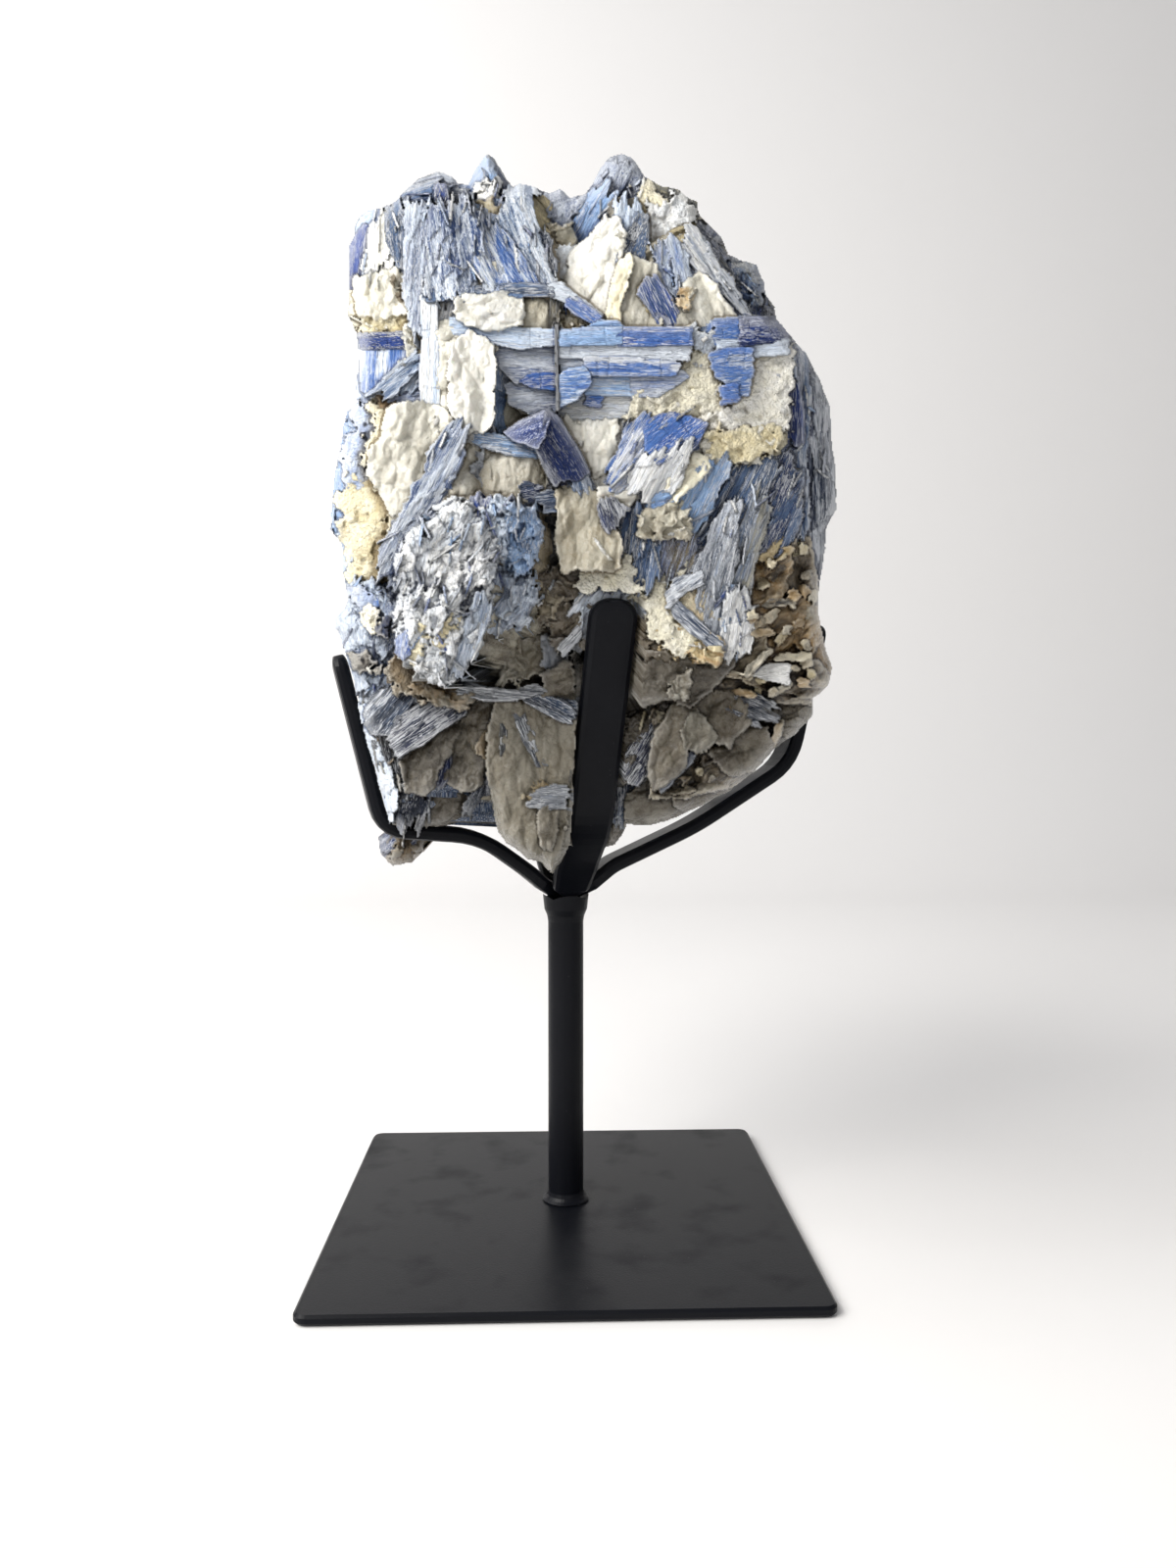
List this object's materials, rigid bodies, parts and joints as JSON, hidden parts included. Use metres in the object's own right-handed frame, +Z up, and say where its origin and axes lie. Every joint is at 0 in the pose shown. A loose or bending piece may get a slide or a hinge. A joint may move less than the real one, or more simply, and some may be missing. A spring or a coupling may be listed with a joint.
{
  "type": "kyanite and quartz crystal specimen on a stand",
  "caption": "Blue kyanite blades with pale quartz and brown mica, resting in a black pronged metal display stand with a square base plate.",
  "frame": {"origin": "middle of the base plate's underside, on the surface that the stand rests on", "axes": "+Z up along the post, +X to the right and -Y towards the viewer as the specimen is displayed"},
  "size_m": [0.1152, 0.1004, 0.2392],
  "materials": {
    "powder_coated_steel": "satin black powder coat",
    "kyanite_and_quartz": "natural crystal faces, pearly to glassy",
    "quartz": "natural, waxy to glassy",
    "mica": "flaky with a pearly shine"
  },
  "bodies": {
    "root": {"base_plate": "powder_coated_steel", "post": "powder_coated_steel", "front_prong": "powder_coated_steel", "right_prong": "powder_coated_steel", "back_prong": "powder_coated_steel", "left_prong": "powder_coated_steel", "specimen": "kyanite_and_quartz"}
  },
  "joints": []
}
